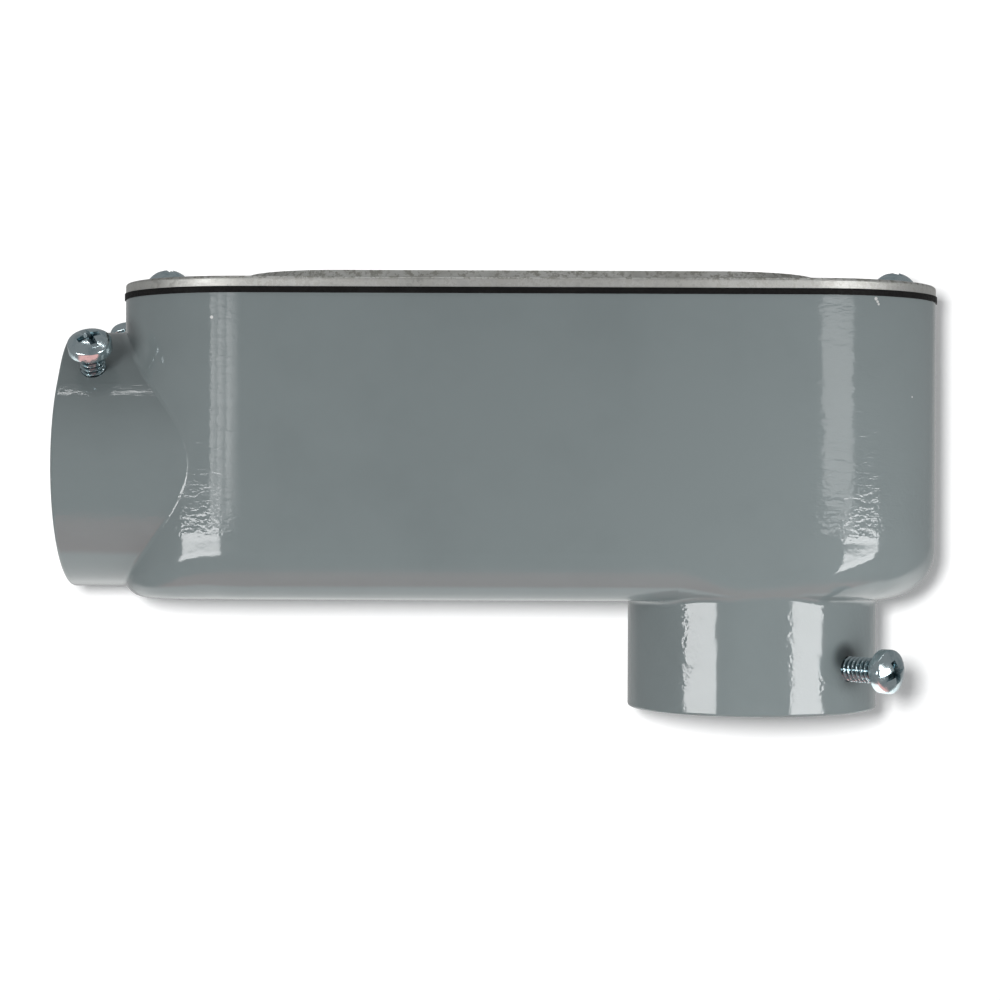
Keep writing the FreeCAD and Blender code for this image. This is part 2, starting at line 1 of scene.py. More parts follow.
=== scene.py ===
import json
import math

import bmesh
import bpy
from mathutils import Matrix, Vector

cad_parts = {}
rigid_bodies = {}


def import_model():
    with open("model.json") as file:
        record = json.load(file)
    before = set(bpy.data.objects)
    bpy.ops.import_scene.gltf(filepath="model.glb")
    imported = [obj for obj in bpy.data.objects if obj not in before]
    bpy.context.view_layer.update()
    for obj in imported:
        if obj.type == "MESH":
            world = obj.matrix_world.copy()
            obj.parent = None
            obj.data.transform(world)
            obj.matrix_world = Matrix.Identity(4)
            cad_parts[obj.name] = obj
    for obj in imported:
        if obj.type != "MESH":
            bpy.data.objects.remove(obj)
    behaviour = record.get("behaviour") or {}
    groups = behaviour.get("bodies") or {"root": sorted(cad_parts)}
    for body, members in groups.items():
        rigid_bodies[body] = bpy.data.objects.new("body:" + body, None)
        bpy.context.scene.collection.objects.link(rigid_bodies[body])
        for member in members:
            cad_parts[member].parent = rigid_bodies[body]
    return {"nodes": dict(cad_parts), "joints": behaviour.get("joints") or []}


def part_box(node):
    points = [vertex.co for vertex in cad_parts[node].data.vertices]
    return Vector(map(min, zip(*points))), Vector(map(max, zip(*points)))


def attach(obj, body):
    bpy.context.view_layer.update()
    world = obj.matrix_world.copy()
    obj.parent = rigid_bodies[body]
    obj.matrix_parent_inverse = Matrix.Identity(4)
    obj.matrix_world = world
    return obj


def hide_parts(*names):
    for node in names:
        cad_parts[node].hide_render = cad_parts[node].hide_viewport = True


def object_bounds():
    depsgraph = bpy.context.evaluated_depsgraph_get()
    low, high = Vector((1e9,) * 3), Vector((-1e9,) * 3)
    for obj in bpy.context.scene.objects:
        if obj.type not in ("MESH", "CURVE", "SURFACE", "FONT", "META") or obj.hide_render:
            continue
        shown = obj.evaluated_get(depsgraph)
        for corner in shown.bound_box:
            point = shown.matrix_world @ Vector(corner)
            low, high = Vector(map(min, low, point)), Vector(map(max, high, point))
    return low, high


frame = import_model()

# %% [markdown]
# # A conduit body, finished and lit
#
# A conduit body is the box at a bend in an electrical conduit. Wires are pulled through it, and
# its cover comes off so that a hand can reach in. This one is an elbow for thin-wall tube: one
# tube goes into the end hub on the left, the other into the back hub below, and set screws grip
# them.
#
# Everything is in metres, in that model's own frame: the origin is the middle of the back hub's
# mouth, +Z points to the cover, the end hub's mouth faces -X, and the long sides face -Y and +Y.
# Many places and sizes come from the parts' own boxes. The others are numbers in millimetres.

MM = 0.001
CAD_BOX = [list(corner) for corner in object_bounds()]
nodes = frame["nodes"]
body_low, body_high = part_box("body_casting")
cover_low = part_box("cover_plate")[0]
print("whole object, mm:", [round((high - low) / MM, 1) for low, high in zip(*CAD_BOX)])

# %% [markdown]
# ## The camera
#
# The fitting lies on its side on a white table, and we look straight down on it from about 60 cm
# with an 85 mm portrait lens. In the model's frame the table is upright behind the part, so the
# camera looks along +Y. A small lens shift moves the frame without turning the camera, so
# upright edges stay upright. A very slight roll matches the way the part lies.

# %% Camera
CAMERA_PLACE = Vector((-48.0, -596.6, 56.5)) * MM
CAMERA_ROLL = math.radians(-0.22)
LENS_MM = 85.0
LENS_SHIFT = (-0.062, -0.0188)

camera_data = bpy.data.cameras.new("camera")
camera_data.lens = LENS_MM
camera_data.sensor_width = 36.0
camera_data.shift_x, camera_data.shift_y = LENS_SHIFT
camera_data.clip_start = 0.01
camera = bpy.data.objects.new("camera", camera_data)
camera.location = CAMERA_PLACE
camera.rotation_euler = (math.radians(90), CAMERA_ROLL, 0)
bpy.context.scene.collection.objects.link(camera)
bpy.context.scene.camera = camera
print("camera to part, mm:", round((body_low.y - CAMERA_PLACE.y) / MM))

# %% [markdown]
# ## Small helpers for shader nodes
#
# A material is a graph of nodes. A few helpers keep the graphs readable. `add` makes a node with
# its settings and incoming links, `math_node`, `product`, `band` and `noise` make numbers, and
# `blend_colour` makes colours.

# %% Node helpers
def add(tree, kind, inputs=None, **settings):
    """One shader node with its settings, input values and incoming links."""
    node = tree.nodes.new(kind)
    for name, value in settings.items():
        setattr(node, name, value)
    for name, value in (inputs or {}).items():
        if isinstance(value, bpy.types.NodeSocket):
            tree.links.new(value, node.inputs[name])
        else:
            node.inputs[name].default_value = value
    return node


def math_node(tree, operation, *numbers):
    """A sum, product or other number made from up to three sockets or values."""
    return add(tree, "ShaderNodeMath", dict(enumerate(numbers)), operation=operation).outputs[0]


def product(tree, first, *others):
    """Several sockets or values multiplied together."""
    for other in others:
        first = math_node(tree, "MULTIPLY", first, other)
    return first


def noise(tree, place, scale, detail, **inputs):
    """A noise from 0 to 1, with about `scale` lumps to a metre when the place is in metres."""
    return add(tree, "ShaderNodeTexNoise", {"Vector": place, "Scale": scale, "Detail": detail,
               **inputs}).outputs["Fac"]


def object_place(tree):
    """The place on the object, in metres."""
    return add(tree, "ShaderNodeTexCoord").outputs["Object"]


def parts_of(tree, vector):
    """The three numbers of a vector."""
    return add(tree, "ShaderNodeSeparateXYZ", {"Vector": vector}).outputs


def bump(tree, height, strength, distance):
    """A Bump node's normal, from a height."""
    return add(tree, "ShaderNodeBump", {"Height": height, "Strength": strength,
               "Distance": distance}).outputs[0]


def band(tree, value, low, high, at_low=0.0, at_high=1.0):
    """A number that runs smoothly from one value to another as its source goes low to high."""
    return add(tree, "ShaderNodeMapRange", {"Value": value, "From Min": low, "From Max": high,
               "To Min": at_low, "To Max": at_high}, interpolation_type="SMOOTHSTEP").outputs[0]


def blend_colour(tree, factor, first, second):
    """One colour that turns into another as the factor goes from 0 to 1."""
    node = add(tree, "ShaderNodeMix", data_type="RGBA")
    # of the node's inputs, 0 is the factor, and 6 and 7 are its two colours
    for index, value in ((0, factor), (6, first), (7, second)):
        socket = node.inputs[index]
        if isinstance(value, bpy.types.NodeSocket):
            tree.links.new(value, socket)
        else:
            socket.default_value = value
    return node.outputs[2]  # the colour result


def new_material(name):
    """An empty node material: its tree and its Principled shader."""
    material = bpy.data.materials.new(name)
    material.use_nodes = True
    return material, material.node_tree, material.node_tree.nodes["Principled BSDF"]


def new_group(name, inputs, outputs):
    """A shader node group with float inputs, and outputs of the given kinds."""
    group = bpy.data.node_groups.new(name, "ShaderNodeTree")
    for label, value in inputs.items():
        socket = group.interface.new_socket(label, in_out="INPUT", socket_type="NodeSocketFloat")
        socket.default_value = value
    for label, kind in outputs.items():
        group.interface.new_socket(label, in_out="OUTPUT", socket_type=kind)
    return group, group.nodes.new("NodeGroupInput"), group.nodes.new("NodeGroupOutput")


def use_group(tree, group, **values):
    """Place a group in a material, with its own values."""
    node = tree.nodes.new("ShaderNodeGroup")
    node.node_tree = group
    for name, value in values.items():
        node.inputs[name.replace("_", " ")].default_value = value
    return node


def paint(thing, material):
    """Give the whole object one material."""
    thing.data.materials.clear()
    thing.data.materials.append(material)


# %% [markdown]
# ## An effect that several finishes share: handling dust
#
# Nothing that has lain in a shop is perfectly even. Faint clouds of dust and finger grease change
# the gloss a little from place to place. One group makes these clouds, and each finish says how
# large they are and how strong. A group saves building the same nodes again, and keeps the
# clouds alike on all parts.

# %% Handling dust
dust, dust_in, dust_out = new_group(
    "handling_dust", {"Cloud Size": 0.03, "Strength": 0.5}, {"Mask": "NodeSocketFloat"})
place = object_place(dust)
scale = math_node(dust, "DIVIDE", 1.0, dust_in.outputs["Cloud Size"])
clouds = noise(dust, place, scale, 4.0, Roughness=0.62)
mask = product(dust, band(dust, clouds, 0.42, 0.68), dust_in.outputs["Strength"])
dust.links.new(mask, dust_out.inputs["Mask"])
print("handling_dust:", len(dust.nodes), "nodes")

# %% [markdown]
# ## Grey paint on the casting
#
# The body is die cast and then coated with glossy grey enamel. Close up, the enamel is never
# flat: it has a fine orange peel from spraying, slow waves from the casting under it, and a belt
# of tight ripples where it ran and dried near the rounded ends. All of that is far too fine for
# the mesh, so it is a height that feeds a Bump node. Its strength varies over the surface: the
# middle of the long side is calm, the rounded ends are rough, and just above the bottom corners
# the enamel dried in drops. The heights are in millimetres, because the Bump's distance is 1 mm.
#
# The top edge was nicked when the cover went on, and two specks of bare metal show elsewhere.
# These are small spots of another colour, placed by their distance from a point. A painted
# shadow lies round the back hub's screw hole in the same way: a dark soft spot where the screw
# shades the hub.

# %% Where the paint is calm and where it is rough
PAINT = (0.186, 0.216, 0.219, 1)
PAINT_SHADE = (0.170, 0.198, 0.201, 1)
BARE_METAL = (0.55, 0.55, 0.54, 1)
# the colour of the painted shadow round the back hub's screw hole
SCREW_SHADOW_COLOUR = (0.022, 0.028, 0.03, 1)
BACK_HUB_TOP = 27.3 * MM                  # the back hub's upper end
CORNER_TOP = BACK_HUB_TOP + 12 * MM       # where the rounded bottom edge ends
LEFT_END = body_low.x + 46.3 * MM         # where the straight side turns into its round ends
RIGHT_END = body_high.x - 33.2 * MM
PATCHES, PEEL, WAVES = 70.0, 760.0, 95.0  # lumps to a metre
RIPPLES = (300, 300, 900)                 # the same, along X, Y and Z
CALM_PEEL, COARSE_PEEL = 0.010, 0.085
WAVE_HEIGHT, RIPPLE_HEIGHT = 0.055, 0.078
LEFT_RIPPLES = 0.55                       # the left end's ripples, next to the right end's

grey_paint, tree, shader = new_material("grey_paint")
place = object_place(tree)
axes = parts_of(tree, place)
towards_left = band(tree, axes[0], LEFT_END + 8 * MM, LEFT_END - 8 * MM)
towards_right = band(tree, axes[0], RIGHT_END - 12 * MM, RIGHT_END + 4 * MM)

# %% Orange peel, casting waves and dried ripples
on_hub = band(tree, axes[2], BACK_HUB_TOP + 2 * MM, BACK_HUB_TOP - 1 * MM)
above_corner = band(tree, axes[2], CORNER_TOP + 2 * MM, CORNER_TOP + 5 * MM)
left_drops = product(tree, towards_left,
                     band(tree, axes[2], CORNER_TOP + 14 * MM, CORNER_TOP + 6 * MM))
right_drops = product(tree, towards_right,
                      band(tree, axes[2], CORNER_TOP + 24 * MM, CORNER_TOP + 12 * MM))
drops = product(tree, math_node(tree, "MAXIMUM", left_drops, right_drops), above_corner)
patches = band(tree, noise(tree, place, PATCHES, 2.0), 0.42, 0.62)
coarse = math_node(tree, "MAXIMUM", drops, product(tree, patches, on_hub))
peel_height = product(tree, noise(tree, place, PEEL, 1.5),
                      band(tree, coarse, 0.0, 1.0, CALM_PEEL, COARSE_PEEL))
wave_height = product(tree, noise(tree, place, WAVES, 2.5), WAVE_HEIGHT)
stretch = add(tree, "ShaderNodeMapping", {"Vector": place, "Scale": RIPPLES}).outputs[0]
ripple_ends = math_node(tree, "MAXIMUM", product(tree, towards_left, LEFT_RIPPLES), towards_right)
ripple_zone = product(tree, ripple_ends, above_corner, band(
    tree, axes[2], body_high.z - 12 * MM, body_high.z - 50 * MM, 0.7, 1.0))
ripple_height = product(tree, noise(tree, stretch, 1.0, 1.5, Distortion=0.8), ripple_zone,
                        RIPPLE_HEIGHT)
height = math_node(tree, "ADD", math_node(tree, "ADD", peel_height, wave_height), ripple_height)
paint_normal = bump(tree, height, 1.0, 1.0 * MM)

# %% Specks and nicks
BARE_SPOTS = (  # middle and radius, mm
    ((-131.9, -32.4, 95.4), 0.42), ((27.2, -29.8, 100.6), 0.45), ((27.6, -29.6, 99.9), 0.35),
    ((27.9, -29.5, 99.3), 0.30), ((37.1, -22.6, 77.3), 0.25))
SCREW_HOLE = (20.6, -23.4, 14.0)


def from_point(tree, place, point):
    """The distance to a point that is given in millimetres."""
    return add(tree, "ShaderNodeVectorMath", {0: place, 1: [c * MM for c in point]},
               operation="DISTANCE").outputs["Value"]


bare = 0.0
for point, radius in BARE_SPOTS:
    spot = band(tree, from_point(tree, place, point), radius * MM * 1.15, radius * MM * 0.75)
    bare = math_node(tree, "MAXIMUM", bare, spot)
# painted shadow: a dark soft spot round the back hub's screw hole, where the screw shades the hub
painted_screw_shadow = band(tree, from_point(tree, place, SCREW_HOLE), 5.0 * MM, 1.5 * MM, 0.0, 0.75)
shade = use_group(tree, dust, Cloud_Size=0.05, Strength=0.8).outputs["Mask"]
colour = blend_colour(tree, shade, PAINT, PAINT_SHADE)
colour = blend_colour(tree, painted_screw_shadow, colour, SCREW_SHADOW_COLOUR)
colour = blend_colour(tree, bare, colour, BARE_METAL)
tree.links.new(colour, shader.inputs["Base Color"])
dusty = use_group(tree, dust, Cloud_Size=0.02, Strength=0.7).outputs["Mask"]
tree.links.new(math_node(tree, "MULTIPLY_ADD", dusty, 0.06, 0.075), shader.inputs["Roughness"])
tree.links.new(paint_normal, shader.inputs["Normal"])
shader.inputs["IOR"].default_value = 1.5
paint(nodes["body_casting"], grey_paint)
print("grey_paint:", len(tree.nodes), "nodes")

# %% [markdown]
# ## Mill finish aluminium on the cover
#
# The cover is stamped from sheet. Rolling leaves fine lines along the sheet, handling leaves
# mottled grey patches, and the press shears the rim so that its edge is brighter and coarser than
# the flat. The lines are a noise that is stretched along X. The patches are a second noise. On
# the rim, where the height lies between the sheet's two faces, that noise gives the shear marks
# as well.

# %% Cover aluminium
SHEET_BRIGHT = (0.72, 0.72, 0.69, 1)
SHEET_DULL = (0.33, 0.32, 0.28, 1)
SHEARED_EDGE = (0.95, 0.95, 0.91, 1)
SHEET = 2.55 * MM
ROLLING_LINES = (60, 2600, 2600)  # lumps to a metre along and across the sheet
MOTTLE = 620.0
cover_flat_top = cover_low.z + SHEET

cover_aluminium, tree, shader = new_material("cover_aluminium")
place = object_place(tree)
axes = parts_of(tree, place)
along = add(tree, "ShaderNodeMapping", {"Vector": place, "Scale": ROLLING_LINES}).outputs[0]
rolling = noise(tree, along, 1.0, 3.0)
mottle = noise(tree, place, MOTTLE, 5.0, Roughness=0.7)
facing = parts_of(tree, add(tree, "ShaderNodeNewGeometry").outputs["Normal"])
upright = band(tree, math_node(tree, "ABSOLUTE", facing[2]), 0.5, 0.1)
on_rim = product(tree, upright,
                 band(tree, axes[2], cover_flat_top + 0.1 * MM, cover_flat_top - 0.2 * MM))
sheared = product(tree, on_rim, band(tree, mottle, 0.35, 0.65), 0.55)
dull = product(tree, band(tree, mottle, 0.47, 0.60), 0.85)
worn = use_group(tree, dust, Cloud_Size=0.015, Strength=0.5).outputs["Mask"]
colour = blend_colour(tree, math_node(tree, "MAXIMUM", dull, worn), SHEET_BRIGHT, SHEET_DULL)
colour = blend_colour(tree, sheared, colour, SHEARED_EDGE)
tree.links.new(colour, shader.inputs["Base Color"])
tree.links.new(math_node(tree, "MULTIPLY_ADD", mottle, 0.25, 0.30), shader.inputs["Roughness"])
height = math_node(tree, "ADD", product(tree, rolling, 0.3), product(tree, mottle, on_rim, 2.2))
tree.links.new(bump(tree, height, 0.6, 0.08 * MM), shader.inputs["Normal"])
shader.inputs["Metallic"].default_value = 1.0
paint(nodes["cover_plate"], cover_aluminium)
print("cover_aluminium:", len(tree.nodes), "nodes")

# %% [markdown]
# ## Gasket rubber
#
# The gasket is cut from black sheet rubber. It is dull and slightly grainy, with faint clouds of
# dust that are only a little paler than the rubber.

# %% Gasket rubber
RUBBER = (0.003, 0.003, 0.003, 1)
DUSTY_RUBBER = (0.012, 0.012, 0.011, 1)

gasket_rubber, tree, shader = new_material("gasket_rubber")
grain = noise(tree, object_place(tree), 1800.0, 3.0)
powder = use_group(tree, dust, Cloud_Size=0.004, Strength=0.35).outputs["Mask"]
tree.links.new(blend_colour(tree, powder, RUBBER, DUSTY_RUBBER), shader.inputs["Base Color"])
tree.links.new(band(tree, grain, 0.3, 0.7, 0.55, 0.8), shader.inputs["Roughness"])
tree.links.new(bump(tree, grain, 0.5, 0.05 * MM), shader.inputs["Normal"])
shader.inputs["Specular IOR Level"].default_value = 0.2
paint(nodes["cover_gasket"], gasket_rubber)
print("gasket_rubber:", len(tree.nodes), "nodes")

# %% [markdown]
# ## Zinc plating on the screws
#
# The screws are steel with bright zinc, which has a bluish tint and a soft, slightly cloudy
# shine. The thread's grooves and the recess are painted darker, as painted shade and dirt. The
# Pointiness output would find them. Here a number is written on each vertex while the screw is
# built, because its builder knows how deep each point lies, and that number paints the shade.

# %% Zinc plating
ZINC = (0.62, 0.72, 0.75, 1)
ZINC_CLOUD = (0.40, 0.52, 0.56, 1)
# painted shade: the colour of the thread's grooves and the recess, reached as points lie deeper
GROOVE_SHADE = (0.10, 0.15, 0.17, 1)

zinc_plating, tree, shader = new_material("zinc_plating")
fine = noise(tree, object_place(tree), 900.0, 3.0)
cloud = use_group(tree, dust, Cloud_Size=0.003, Strength=0.8).outputs["Mask"]
depth = add(tree, "ShaderNodeAttribute", attribute_name="depth").outputs["Fac"]
colour = blend_colour(tree, cloud, ZINC, ZINC_CLOUD)
colour = blend_colour(tree, depth, colour, GROOVE_SHADE)
tree.links.new(colour, shader.inputs["Base Color"])
tree.links.new(band(tree, fine, 0.3, 0.7, 0.09, 0.19), shader.inputs["Roughness"])
tree.links.new(bump(tree, fine, 0.6, 0.09 * MM), shader.inputs["Normal"])
shader.inputs["Metallic"].default_value = 1.0
print("zinc_plating:", len(tree.nodes), "nodes")

# %% [markdown]
# ## Screws: a thread, a domed head and a recess
#
# The CAD screws are plain: smooth shanks and smooth heads. A real thread is one ridge that winds
# round the shank. It could be a curve that is swept round, or a Screw modifier on a profile.
# Here the shank is a grid of points round and along the axis, and each point's radius follows a
# V with flat crests and roots that depends on its angle and height. That gives one closed skin
# with no seams, and the chamfer at the point is only a limit on the same radius.
#
# The head is turned: a profile of rim, rounded shoulder and dome, spun round the axis. Its recess
# takes a flat blade or a cross-shaped one. A cutter made of three blades, one for the slot and
# two for the cross, is subtracted with a Boolean modifier. That gives the crisp inner corners of
# a cold-formed recess.

# %% The thread's form
ROUND = 96                 # points round a screw
RINGS_PER_PITCH = 14
THREAD_DEPTH = 0.78 * MM
ROOT_SHARE = 0.12          # of half a pitch: the flat root
FLANK_SHARE = 0.70         # of half a pitch: the sloping flank
POINT_CHAMFER = 0.8 * MM
INTO_HEAD = 0.4 * MM       # how far the shank reaches into the head


def thread_radius(outer, pitch, angle, height):
    """The shank's radius at one point of its screw-shaped grid, and how deep that is, 0 to 1."""
    phase = (height / pitch - angle / (2 * math.pi)) % 1.0
    climb = abs(2 * phase - 1)
    deep = 1 - min(1.0, max(0.0, (climb - ROOT_SHARE) / FLANK_SHARE))
    return outer - THREAD_DEPTH * deep, deep


def turned_point(radius, angle, height):
    """A point at a distance from the axis, at an angle round it."""
    return radius * math.cos(angle), radius * math.sin(angle), height


def join_rings(mesh, rings):
    """Faces between each ring of vertices and the next one up."""
    for lower, upper in zip(rings, rings[1:]):
        for k in range(ROUND):
            after = (k + 1) % ROUND
            mesh.faces.new((lower[k], lower[after], upper[after], upper[k]))


def add_shank(mesh, depth_layer, outer, length, pitch):
    """The threaded shank, from its point at -length up to just inside the head."""
    steps = int(length / pitch * RINGS_PER_PITCH)
    rings = []
    for step in range(steps + 1):
        height = -length + (length + INTO_HEAD) * step / steps
        chamfer = outer + min(0.0, height + length - POINT_CHAMFER)
        ring = []
        for k in range(ROUND):
            angle = 2 * math.pi * k / ROUND
            radius, deep = thread_radius(outer, pitch, angle, height)
            vertex = mesh.verts.new(turned_point(min(radius, chamfer), angle, height))
            # the depth in the thread's groove also paints shade there
            vertex[depth_layer] = deep
            ring.append(vertex)
        rings.append(ring)
    join_rings(mesh, rings)
    mesh.faces.new(list(reversed(rings[0])))
    mesh.faces.new(rings[-1])


# %% The head's form
EDGE_ROUND = 0.35 * MM
UNDERSIDE = 0.4           # of the head's radius: where the underside's ring starts
ARC_POINTS = 4
DOME_POINTS = 15


def head_profile(radius, side, height):
    """(radius, height) points from the middle of the underside, round the rim, up to the top."""
    dome_rise = height - side
    dome_radius = (radius ** 2 + dome_rise ** 2) / (2 * dome_rise)
    points = [(UNDERSIDE * radius, 0.0), (radius - EDGE_ROUND, 0.0)]
    for k in range(1, ARC_POINTS + 1):
        turn = math.pi / 2 * k / ARC_POINTS
        points.append((radius - EDGE_ROUND + EDGE_ROUND * math.sin(turn),
                       EDGE_ROUND - EDGE_ROUND * math.cos(turn)))
    points.append((radius, side - EDGE_ROUND))
    points.append((radius - 0.15 * EDGE_ROUND, side - 0.1 * EDGE_ROUND))
    start = math.asin((radius - 0.6 * EDGE_ROUND) / dome_radius)
    for k in range(DOME_POINTS):
        angle = start * (1 - k / DOME_POINTS)
        points.append((dome_radius * math.sin(angle),
                       height - dome_radius * (1 - math.cos(angle))))
    return points


def finished(mesh, name):
    """An object from a mesh under construction."""
    data = bpy.data.meshes.new(name)
    mesh.to_mesh(data)
    mesh.free()
    return bpy.data.objects.new(name, data)


def make_head(name, radius, side, height):
    """The head as a closed turned solid, with its underside at zero."""
    mesh = bmesh.new()
    rings = [[mesh.verts.new(turned_point(r, 2 * math.pi * k / ROUND, z)) for k in range(ROUND)]
             for r, z in head_profile(radius, side, height)]
    join_rings(mesh, rings)
    top = mesh.verts.new((0, 0, height))
    for k in range(ROUND):
        mesh.faces.new((rings[-1][k], rings[-1][(k + 1) % ROUND], top))
    mesh.faces.new(list(reversed(rings[0])))
    return finished(mesh, name)


# %% The recess's cutter
SLOT_HALF = 0.80 * MM
CROSS_HALF = 1.10 * MM
SLOT_REACH, CROSS_REACH = 1.3, 0.74   # of the head's radius
SLOT_DEPTH = 0.50                     # of the cross's depth
CROSS_TAPER = 0.40                    # of the head's radius, lost towards the cross's floor
WIDTH_TAPER = 0.25                    # the share of that taper that narrows a blade
CUBE = ((3, 2, 1, 0), (4, 5, 6, 7), (0, 1, 5, 4), (1, 2, 6, 5), (2, 3, 7, 6), (3, 0, 4, 7))


def make_cutter(radius, height, depth):
    """A slot and a tapered cross, as one closed solid per blade, above the recess floor."""
    mesh = bmesh.new()
    top = height + 1 * MM

    def blade(long_half, wide_half, floor, taper, turn):
        spin = Matrix.Rotation(turn, 3, "Z")
        corners = []
        for z, shrink in ((floor, taper), (top, 0.0)):
            for sx, sy in ((-1, -1), (1, -1), (1, 1), (-1, 1)):
                corner = (sx * (long_half - shrink), sy * (wide_half - shrink * WIDTH_TAPER), z)
                corners.append(mesh.verts.new(spin @ Vector(corner)))
        for loop in CUBE:
            mesh.faces.new([corners[k] for k in loop])

    blade(radius * SLOT_REACH, SLOT_HALF, height - SLOT_DEPTH * depth, 0.0, 0.0)
    for turn in (math.pi / 2, 0.0):
        blade(radius * CROSS_REACH, CROSS_HALF, height - depth, radius * CROSS_TAPER, turn)
    return finished(mesh, "cutter")


# %% One whole screw
SHARP_EDGE = math.radians(32)
RECESS_RIM = 0.93        # of the head's radius: the recess lies inside this
RECESS_BOTTOM = 0.2      # of the side's height: and above this
DEPTH_GAIN = 1.1
DEEPEST = 0.85


def cut_recess(head, radius, height, depth, turn):
    """Subtract the driver recess from a head, and keep the result as its mesh."""
    cutter = make_cutter(radius, height, depth)
    for thing in (head, cutter):
        bpy.context.scene.collection.objects.link(thing)
    cutter.rotation_euler = (0, 0, turn)
    modifier = head.modifiers.new("recess", "BOOLEAN")
    modifier.operation = "DIFFERENCE"
    modifier.solver = "EXACT"
    modifier.use_self = True
    modifier.object = cutter
    bpy.context.view_layer.update()
    result = bpy.data.meshes.new_from_object(head.evaluated_get(
        bpy.context.evaluated_depsgraph_get()))
    for thing in (head, cutter):
        bpy.data.objects.remove(thing)
    return result


def make_screw(node, place, out, sizes, recess_turn):
    """A screw that replaces a CAD node, with the underside of its head at a place."""
    head = make_head(f"{node}_head", sizes["head"], sizes["side"], sizes["height"])
    head_mesh = cut_recess(head, sizes["head"], sizes["height"], sizes["recess"], recess_turn)
    mesh = bmesh.new()
    mesh.from_mesh(head_mesh)
    depth_layer = mesh.verts.layers.float.new("depth")
    dome_rise = sizes["height"] - sizes["side"]
    # painted shade: points inside the recess get a depth by how far they lie below the head's
    # skin
    for vertex in mesh.verts:
        r = math.hypot(vertex.co.x, vertex.co.y)
        skin = sizes["height"] - dome_rise * (r / sizes["head"]) ** 2
        below = (skin - vertex.co.z) / sizes["recess"]
        inside = (r < sizes["head"] * RECESS_RIM
                  and vertex.co.z > sizes["side"] * RECESS_BOTTOM)
        deep = min(1.0, max(0.0, below * DEPTH_GAIN)) * DEEPEST
        vertex[depth_layer] = deep if inside else 0.0
    add_shank(mesh, depth_layer, sizes["shank"], sizes["length"], sizes["pitch"])
    for face in mesh.faces:
        face.smooth = True
    screw = finished(mesh, f"{node}_threaded")
    data = screw.data
    data.set_sharp_from_angle(angle=SHARP_EDGE)
    bpy.context.scene.collection.objects.link(screw)
    turn = Vector((0, 0, 1)).rotation_difference(Vector(out)).to_matrix().to_4x4()
    data.transform(Matrix.Translation(place) @ turn)
    paint(screw, zinc_plating)
    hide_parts(node)
    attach(screw, node)
    print(node, "faces", len(data.polygons))


# %% [markdown]
# Each screw's axis is in the joint that moves it. The ends of a tilted screw can't be read from
# its node's box, so they are found from the CAD mesh: the highest and lowest points along the
# axis are the top of the head and the point.

# %% All six screws
SET_SCREW = {"shank": 3.1 * MM, "head": 5.35 * MM, "side": 2.7 * MM, "height": 4.6 * MM,
             "recess": 2.0 * MM, "pitch": 1.27 * MM}
COVER_SCREW = {"shank": 2.7 * MM, "head": 5.3 * MM, "side": 1.0 * MM, "height": 4.1 * MM,
               "recess": 1.9 * MM, "pitch": 1.05 * MM}
RECESS_TURN = {"end_hub_set_screw_front": 2.15, "end_hub_set_screw_rear": 0.4,
               "back_hub_set_screw_front": 1.2, "back_hub_set_screw_rear": 2.0,
               "cover_screw_hub_end": 0.5, "cover_screw_back_end": 1.9}  # radians
ALMOST = 0.001 * MM


def along_axis(node, out):
    """The lowest and highest point of a node along a direction, and a point on its axis."""
    points = [vertex.co for vertex in nodes[node].data.vertices]
    reach = [point.dot(out) for point in points]
    low, high = min(reach), max(reach)
    top = [point for point, far in zip(points, reach) if far > high - ALMOST]
    middle = sum(top, Vector()) / len(top)
    return low, high, middle - out * high


for joint in frame["joints"]:
    node = joint["child"]
    if "screw" not in node:
        continue
    out = Vector(joint["axis"]).normalized()
    low, high, foot = along_axis(node, out)
    sizes = dict(COVER_SCREW if "cover" in node else SET_SCREW)
    sizes["length"] = high - low - sizes["height"]
    make_screw(node, foot + out * (high - sizes["height"]), out, sizes, RECESS_TURN[node])

# %% [markdown]
# ## Table
#
# The part lies on a white table. The table must catch a tight soft shadow and be white elsewhere,
# yet it must not hide the part from behind. So its material shows only to the camera, and only
# from the front. To every other ray it is transparent, and the white surroundings take over its
# job of lighting the part from behind. It glows a little, which sets how dark a shadow on it can
# be.

# %% Table
TABLE_HALF = 1500
TABLE_DEPTH = CAD_BOX[1][1] / MM + 0.3
TABLE_GLOW = 0.16
TABLE_WHITE = (0.86, 0.86, 0.86, 1)

mesh = bpy.data.meshes.new("table")
mesh.from_pydata([(x * TABLE_HALF * MM, TABLE_DEPTH * MM, z * TABLE_HALF * MM)
                  for x, z in ((-1, -1), (1, -1), (1, 1), (-1, 1))], [], [(0, 1, 2, 3)])
table = bpy.data.objects.new("table", mesh)
bpy.context.scene.collection.objects.link(table)
table_white, tree, shader = new_material("table_white")
output = tree.nodes["Material Output"]
shader.inputs["Base Color"].default_value = TABLE_WHITE
shader.inputs["Roughness"].default_value = 1.0
shader.inputs["Specular IOR Level"].default_value = 0.0
shader.inputs["Emission Color"].default_value = (1, 1, 1, 1)
shader.inputs["Emission Strength"].default_value = TABLE_GLOW
path = add(tree, "ShaderNodeLightPath")
front = math_node(tree, "SUBTRACT", 1.0, add(tree, "ShaderNodeNewGeometry").outputs["Backfacing"])
shown = product(tree, path.outputs["Is Camera Ray"], front)
clear = add(tree, "ShaderNodeBsdfTransparent")
choice = add(tree, "ShaderNodeMixShader", {
    "Fac": shown, 1: clear.outputs[0], 2: shader.outputs[0]})
tree.links.new(choice.outputs[0], output.inputs["Surface"])
paint(table, table_white)
print("table at", round(TABLE_DEPTH, 1), "mm behind the middle plane")

